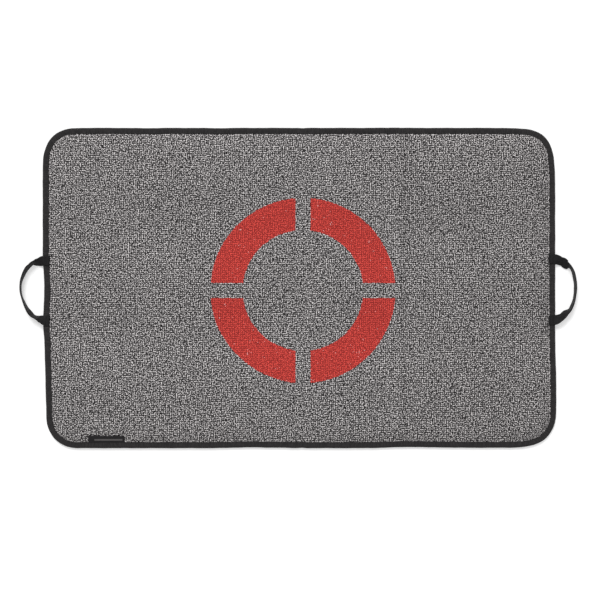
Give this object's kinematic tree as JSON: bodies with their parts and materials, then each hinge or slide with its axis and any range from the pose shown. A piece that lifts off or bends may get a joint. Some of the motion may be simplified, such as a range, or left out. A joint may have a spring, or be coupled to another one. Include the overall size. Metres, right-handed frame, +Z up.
{
  "type": "bouldering crash pad",
  "caption": "Slim folding bouldering pad with a carpet landing face, foam core, bound rounded edge and a webbing carry loop at each short end.",
  "frame": {"origin": "middle of the underside, on the ground", "axes": "+Z up out of the carpet face, X along the pad from carry loop to carry loop, +Y towards its back long edge; the side label is near the front long edge"},
  "size_m": [1.1126, 0.64, 0.0208],
  "materials": {
    "carpet": "matte grey heather looped carpet",
    "binding_tape": "matte black woven tape",
    "webbing": "black woven webbing with a slight sheen",
    "ground_fabric": "black coated ground cloth",
    "foam": "dark closed-cell foam, hidden inside",
    "label": "bare black woven tag with a grey field"
  },
  "bodies": {
    "left_half": {"ground_fabric_left": "ground_fabric", "foam_left": "foam", "carpet_left": "carpet", "binding_left": "binding_tape", "strap_end_left_back": "webbing", "strap_end_left_front": "webbing", "side_label": "label"},
    "right_half": {"ground_fabric_right": "ground_fabric", "foam_right": "foam", "carpet_right": "carpet", "binding_right": "binding_tape", "strap_end_right_back": "webbing", "strap_end_right_front": "webbing"},
    "left_loop": {"carry_loop_left": "webbing"},
    "right_loop": {"carry_loop_right": "webbing"}
  },
  "joints": [
    {"name": "fold", "type": "hinge", "parent": "left_half", "child": "right_half", "pos_m": [0, 0, 0.0213], "axis": [0, -1, 0], "range_deg": [0, 170]},
    {"name": "loop_swing_left", "type": "hinge", "parent": "left_half", "child": "left_loop", "pos_m": [-0.5122, -0.0036, 0.01225], "axis": [0, 1, 0], "range_deg": [0, 90]},
    {"name": "loop_swing_right", "type": "hinge", "parent": "right_half", "child": "right_loop", "pos_m": [0.5122, -0.0036, 0.01225], "axis": [0, -1, 0], "range_deg": [0, 90]}
  ]
}
